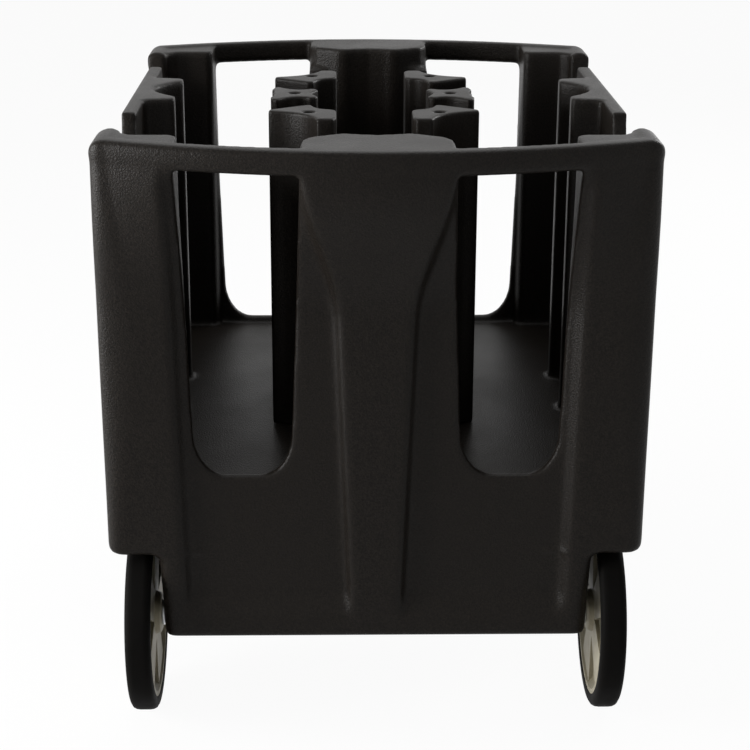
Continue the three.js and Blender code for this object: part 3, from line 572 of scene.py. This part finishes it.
def outer_form():
    low = UNDERSIDE - END_LIP_DROP
    base_top = SKIRT_BOTTOM - SKIRT_FILLET
    wall_start = SKIRT_BOTTOM + SKIRT_ROUND
    wall_steps = round((BAR_BOTTOM - wall_start) / LEVEL_STEP)
    levels = [
        base_level(low, BASE_ROUND),
        base_level(low + BASE_ROUND * MID_ROUND, BASE_ROUND * MID_ROUND),
        base_level(low + BASE_ROUND),
        *[base_level(z) for z in steps(PANEL_BOTTOM, base_top, BASE_STEPS)],
        base_level(SKIRT_BOTTOM - SKIRT_FILLET * MID_ROUND, flare=SKIRT_FILLET * MID_ROUND),
        base_level(SKIRT_BOTTOM, flare=SKIRT_FILLET),
        upper_level(SKIRT_BOTTOM, inset=SKIRT_ROUND),
        upper_level(SKIRT_BOTTOM + SKIRT_ROUND * MID_ROUND, inset=SKIRT_ROUND * MID_ROUND),
        *[upper_level(z) for z in steps(wall_start, BAR_BOTTOM, wall_steps)],
        *[upper_level(z, grow) for z, grow in RIM_RINGS],
    ]
    return loft("moulded_body", levels)


# ---------------------------------------------------------------- cuts in the body
def cavity():
    """The wells and the aisle between them, with the fins and ridges left standing."""
    tip_x = CAVITY_X - FIN_REACH
    quarter = [
        (lerp(POCKET_X, tip_x, share ** 2), FIN_NEAR * share)
        for share in steps(0, 1, POCKET_STEPS)
    ]
    quarter += [
        (tip_x, FIN_FAR - FIN_TIP[1]),
        (tip_x + FIN_TIP[0], FIN_FAR),
        (CAVITY_X - FIN_ROOT[0], FIN_FAR + FIN_DRAFT),
        (CAVITY_X, FIN_FAR + FIN_DRAFT + FIN_ROOT[1]),
        (CAVITY_X, COLUMN_BACK - COLUMN_EASE),
        (BLOCK_X, COLUMN_BACK),
        (BLOCK_X, BLOCK_BACK - BLOCK_CORNER),
        (BLOCK_X - BLOCK_CORNER, BLOCK_BACK),
        (WINDOW_OUTER[0] + BLOCK_STEP, BLOCK_BACK),
        (WINDOW_OUTER[0], BLOCK_BACK + BLOCK_STEP),
        (WINDOW_OUTER[0], SLOT_END_Y),
        *[(RIDGE_X + outward, SLOT_END_Y - depth) for outward, depth in RIDGE_PROFILE],
        (0, SLOT_END_Y),
    ]
    return prism("cavity", all_quarters(quarter), FLOOR_HEIGHT, ABOVE)


def mirrored(outline, side, end):
    return [(side * x, end * y) for x, y in outline]


def bar_back(x):
    """From mid length to the inner face of a handle."""
    return END_Y + handle_bow(x) + BEAD - BAR_DEPTH


def handle_hollow(side, end):
    """The hollow behind a handle, open upward, with the scooped shoulder of the pillar."""
    inner, outer = WINDOW_INNER[0], WINDOW_OUTER[0]
    outline = [
        (outer, COLUMN_BACK + HOLLOW_START),
        *[(x, bar_back(x)) for x in steps(outer, inner, BAR_STEPS)],
        *[(inner + across, SLOT_END_Y + beyond) for across, beyond in SHOULDER],
        (RIDGE_X + HOLLOW_INNER, SLOT_END_Y - RIDGE_DEPTH),
        (RIDGE_X + HOLLOW_INNER, COLUMN_BACK + HOLLOW_START),
    ]
    return prism("hollow", mirrored(outline, side, end), WINDOW_TOP - HOLLOW_OVERLAP, ABOVE)


def window(side, end):
    """A tall window through an end wall, narrower and round at its bottom."""
    wide, high = WINDOW_CORNER
    base = WINDOW_BOTTOM + high
    outline = [(WINDOW_INNER[0], WINDOW_TOP)]
    corners = ((WINDOW_INNER[1] + wide, math.pi), (WINDOW_OUTER[1] - wide, math.pi * 1.5))
    for centre, first in corners:
        for angle in steps(first, first + math.pi / 2, WINDOW_STEPS):
            outline.append((centre + wide * math.cos(angle), base + high * math.sin(angle)))
    outline.append((WINDOW_OUTER[0], WINDOW_TOP))
    near, far = sorted((end * (SLOT_END_Y - WINDOW_START), end * BEYOND))
    return prism("window", mirrored(outline, side, 1), near, far, "Y")


def lowered_top():
    """Takes the sides and the tops inside the rim a little below it, but not the pillars."""
    half = CORNER_X - BAR_DEPTH
    pillar = WINDOW_INNER[0] - PILLAR_MARGIN
    arc = [(x, bar_back(x)) for x in steps(half, pillar, BAR_STEPS)]
    side = [(BEYOND, COLUMN_BACK), (half, COLUMN_BACK), *arc, (pillar, COLUMN_BACK)]
    outline = (
        side + mirrored(side[::-1], -1, 1) + mirrored(side, -1, -1) + mirrored(side[::-1], 1, -1)
    )
    return prism("lowered_top", outline, INNER_TOP, ABOVE)


def top_corner(side):
    """Rounds the outer corner of the rim, as seen from an end."""
    x, z = CORNER_X + BEAD - TOP_CORNER, CART_HEIGHT - TOP_CORNER
    outline = [(BEYOND, z), (BEYOND, ABOVE), (x, ABOVE)]
    for angle in steps(math.pi / 2, 0, ARC_STEPS):
        outline.append((x + TOP_CORNER * math.cos(angle), z + TOP_CORNER * math.sin(angle)))
    return prism("top_corner", mirrored(outline, side, 1), -BEYOND, BEYOND, "Y")


def hand_dip(end):
    """A dip in the top of both sides, in front of or behind mid length."""
    low = INNER_TOP - DIP_DEPTH
    outline = [
        (DIP_START, ABOVE),
        (DIP_START, INNER_TOP - DIP_LIP),
        (DIP_START + DIP_SLOPE, low),
        (COLUMN_BACK - COLUMN_EASE, low),
        (COLUMN_BACK, low + DIP_HEEL),
        (COLUMN_BACK, ABOVE),
    ]
    return prism("hand_dip", mirrored(outline, end, 1), -BEYOND, BEYOND, "X")


def wheel_arch(side):
    """The round recess over a large wheel."""
    _, y, z = WHEEL_AXIS
    radius = z + ARCH_CLEARANCE
    outline = [
        (y + radius * math.cos(angle), z + radius * math.sin(angle))
        for angle in steps(0, 2 * math.pi, ARCH_STEPS)[:-1]
    ]
    near, far = sorted((side * BASE_HALF_WIDTH, side * BEYOND))
    return prism("arch", outline, near, far, "X")


def raised_underside():
    """The underside between the lips of the two end walls."""
    reach = END_Y - END_LIP_DEPTH
    outline = [(-BEYOND, -reach), (BEYOND, -reach), (BEYOND, reach), (-BEYOND, reach)]
    return prism("underside", outline, 0, UNDERSIDE)


def moulded_body():
    quarters = [(side, end) for side in (-1, 1) for end in (-1, 1)]
    tools = [cavity(), lowered_top(), raised_underside()]
    tools += [window(side, end) for side, end in quarters]
    tools += [handle_hollow(side, end) for side, end in quarters]
    tools += [top_corner(side) for side in (-1, 1)]
    tools += [hand_dip(end) for end in (-1, 1)]
    tools += [wheel_arch(side) for side in (-1, 1)]
    piece = combined(outer_form(), tools)
    rounded_skin(piece, BODY_VOXEL)
    stand_in_for(piece, "body_shell", "cart", "body_plastic")


# ---------------------------------------------------------------- divider posts
def curve(start, control, end):
    """Points of a curve from start to end, without its start."""
    points = []
    for t in steps(0, 1, CURVE_STEPS)[1:]:
        points.append(tuple(
            (1 - t) ** 2 * start[k] + 2 * t * (1 - t) * control[k] + t ** 2 * end[k]
            for k in (0, 1)
        ))
    return points


def end_post_outline():
    """From a post's hole, with x outward and y toward the end of the cart."""
    return [
        (-38, -12), (-38, 42), (-33, 53), (-12, 53),
        *curve((-12, 53), (-2, 8), (48, -5)),
        (56, -8), (56, -18), (50, -22), (5, -54), (-3, -54),
        *curve((-3, -54), (-9, -22), (-31, -20)),
    ]


def middle_post_outline():
    """A star with four arms and hollow sides. Its outer arms reach further."""
    half = [
        *curve((34, 0), (26, 10), (34, 31)),
        (31, 48), (24, 53),
        *curve((24, 53), (-3, 16), (-24, 38)),
        (-31, 34), (-34, 26),
        *curve((-34, 26), (-26, 8), (-25, 0)),
    ]
    return half + [(x, -y) for x, y in half[-2::-1]]


def divider_post(node, outline, place, side, end):
    """A post from the well's floor, with a round hole in its top."""
    x, y = side * place[0], end * place[1]
    moved = [(x + side * u, y + end * v) for u, v in outline]
    piece = prism(node + "_moulded", moved, POST_FOOT, POST_TOP)
    radius, depth = POST_HOLE
    circle = [
        (x + radius * math.cos(angle), y + radius * math.sin(angle))
        for angle in steps(0, 2 * math.pi, HOLE_STEPS)[:-1]
    ]
    combined(piece, [prism("post_hole", circle, POST_TOP - depth, ABOVE)])
    rounded_skin(piece, POST_VOXEL)
    stand_in_for(piece, node, "cart", "post_plastic")


def divider_posts():
    for side, side_name in ((-1, "left"), (1, "right")):
        node = f"divider_post_{side_name}_middle"
        divider_post(node, middle_post_outline(), MIDDLE_POST, side, 1)
        for end, end_name in ((-1, "front"), (1, "back")):
            node = f"divider_post_{side_name}_{end_name}"
            divider_post(node, end_post_outline(), END_POST, side, end)


# ---------------------------------------------------------------- wheels
# Profiles of the turned pieces: radius, and distance from the wheel's middle plane
TYRE_PROFILE = [
    (118, -17), (124, -17.6), (130, -17.2), (133.6, -15), (135.4, -11.5), (136, -7),
    (136, 7), (135.4, 11.5), (133.6, 15), (130, 17.2), (124, 17.6), (118, 17),
]
CENTRE_PROFILE = [
    (14.6, -22), (24, -22), (28, -20), (33, -8), (103, -8), (109, -13), (111, -16),
    (117.7, -16), (117.7, 16), (111, 16), (109, 13), (103, 8), (33, 8), (28, 20),
    (24, 22), (14.6, 22),
]
CASTER_TYRE_PROFILE = [
    (48, -14), (52, -14), (55.4, -12.4), (56.8, -9.5), (57, -6),
    (57, 6), (56.8, 9.5), (55.4, 12.4), (52, 14), (48, 14),
]


def wheel_spoke(centre, turn):
    """One broad spoke, raised on both sides of the web."""
    outline = []
    for across, out in SPOKE_OUTLINE:
        outline.append((
            centre[1] + across * math.cos(turn) + out * math.sin(turn),
            centre[2] + out * math.cos(turn) - across * math.sin(turn),
        ))
    return prism("spoke", outline, centre[0] - SPOKE_HALF, centre[0] + SPOKE_HALF, "X")


def large_wheel(side, side_name):
    body = f"wheel_{side_name}"
    centre = (side * WHEEL_AXIS[0], WHEEL_AXIS[1], WHEEL_AXIS[2])
    tyre = turned(f"wheel_tyre_{side_name}_round", TYRE_PROFILE, centre)
    eased_edges(tyre, STEEL_EDGE)
    stand_in_for(tyre, f"wheel_tyre_{side_name}", body, "tyre_black")
    middle = turned(f"wheel_centre_{side_name}_spoked", CENTRE_PROFILE, centre)
    spokes = [
        wheel_spoke(centre, 2 * math.pi * (i + SPOKE_TURN) / WHEEL_SPOKES)
        for i in range(WHEEL_SPOKES)
    ]
    combined(middle, spokes, "UNION")
    eased_edges(middle, MOULDED_EDGE)
    stand_in_for(middle, f"wheel_centre_{side_name}", body, "wheel_plastic")


def caster_wheel(side, side_name):
    centre = (side * CASTER_AXIS[0], CASTER_AXIS[1], CASTER_AXIS[2])
    tyre = turned(f"caster_tyre_{side_name}_round", CASTER_TYRE_PROFILE, centre)
    eased_edges(tyre, STEEL_EDGE)
    stand_in_for(tyre, f"caster_tyre_{side_name}", f"caster_wheel_{side_name}", "caster_rubber")


def dress_nodes():
    """Every solid of the pack gets its slot's material and eased edges."""
    slots = {entry["node"]: entry["material_slot"] for entry in frame["record"]["subparts"]}
    for name, piece in nodes.items():
        piece.data.materials.clear()
        piece.data.materials.append(MATERIALS[slots[name]])
        eased_edges(piece, STEEL_EDGE)


dress_nodes()
moulded_body()
divider_posts()
for side_sign, side_label in ((-1, "left"), (1, "right")):
    large_wheel(side_sign, side_label)
    caster_wheel(side_sign, side_label)


# ---------------------------------------------------------------- floor, lights, camera
def camera_only_white(tree, surface, white_share):
    """Mixes plain white into what the camera, mirrors and glass see of a surface."""
    path = tree.nodes.new("ShaderNodeLightPath")
    seen = path.outputs["Is Camera Ray"]
    for ray in ("Is Glossy Ray", "Is Transmission Ray"):
        either = tree.nodes.new("ShaderNodeMath")
        either.operation = "MAXIMUM"
        tree.links.new(seen, either.inputs[0])
        tree.links.new(path.outputs[ray], either.inputs[1])
        seen = either.outputs[0]
    share = tree.nodes.new("ShaderNodeMath")
    share.operation = "MULTIPLY"
    share.inputs[1].default_value = white_share
    tree.links.new(seen, share.inputs[0])
    white = tree.nodes.new("ShaderNodeEmission")
    mix = tree.nodes.new("ShaderNodeMixShader")
    tree.links.new(share.outputs[0], mix.inputs["Fac"])
    tree.links.new(surface, mix.inputs[1])
    tree.links.new(white.outputs[0], mix.inputs[2])
    return mix.outputs[0]


def make_floor():
    bpy.ops.mesh.primitive_plane_add(size=FLOOR_SIZE)
    floor = bpy.context.object
    floor.name = "floor"
    material = bpy.data.materials.new("floor")
    material.use_nodes = True
    tree = material.node_tree
    shader = tree.nodes["Principled BSDF"]
    shader.inputs["Base Color"].default_value = FLOOR_WHITE
    shader.inputs["Roughness"].default_value = 1.0
    output = tree.nodes["Material Output"]
    surface = camera_only_white(tree, shader.outputs[0], FLOOR_SHARE)
    tree.links.new(surface, output.inputs["Surface"])
    floor.data.materials.append(material)


def make_world():
    world = bpy.data.worlds.new("studio")
    bpy.context.scene.world = world
    world.use_nodes = True
    tree = world.node_tree
    background = tree.nodes["Background"]
    background.inputs["Color"].default_value = (1, 1, 1, 1)
    background.inputs["Strength"].default_value = WORLD_STRENGTH
    output = tree.nodes["World Output"]
    surface = camera_only_white(tree, background.outputs[0], 1.0)
    tree.links.new(surface, output.inputs["Surface"])


def area_light(name, place, target, width, height, power):
    data = bpy.data.lights.new(name, "AREA")
    data.shape = "RECTANGLE"
    data.size = width
    data.size_y = height
    data.energy = power
    light = bpy.data.objects.new(name, data)
    light.location = place
    light.rotation_euler = (Vector(target) - Vector(place)).to_track_quat("-Z", "Y").to_euler()
    bpy.context.scene.collection.objects.link(light)


def make_lights():
    for light in LIGHTS:
        area_light(*light)


def make_camera():
    data = bpy.data.cameras.new("camera")
    data.sensor_width = SENSOR
    data.lens = FOCAL_PIXELS / PHOTO_PIXELS * SENSOR
    data.clip_start = CLIP_START
    camera = bpy.data.objects.new("camera", data)
    camera.location = CAMERA_PLACE
    camera.rotation_euler = (math.pi / 2 - CAMERA_PITCH, CAMERA_ROLL, CAMERA_YAW)
    bpy.context.scene.collection.objects.link(camera)
    bpy.context.scene.camera = camera


make_floor()
make_world()
make_lights()
make_camera()
bpy.context.scene.view_settings.view_transform = "Standard"
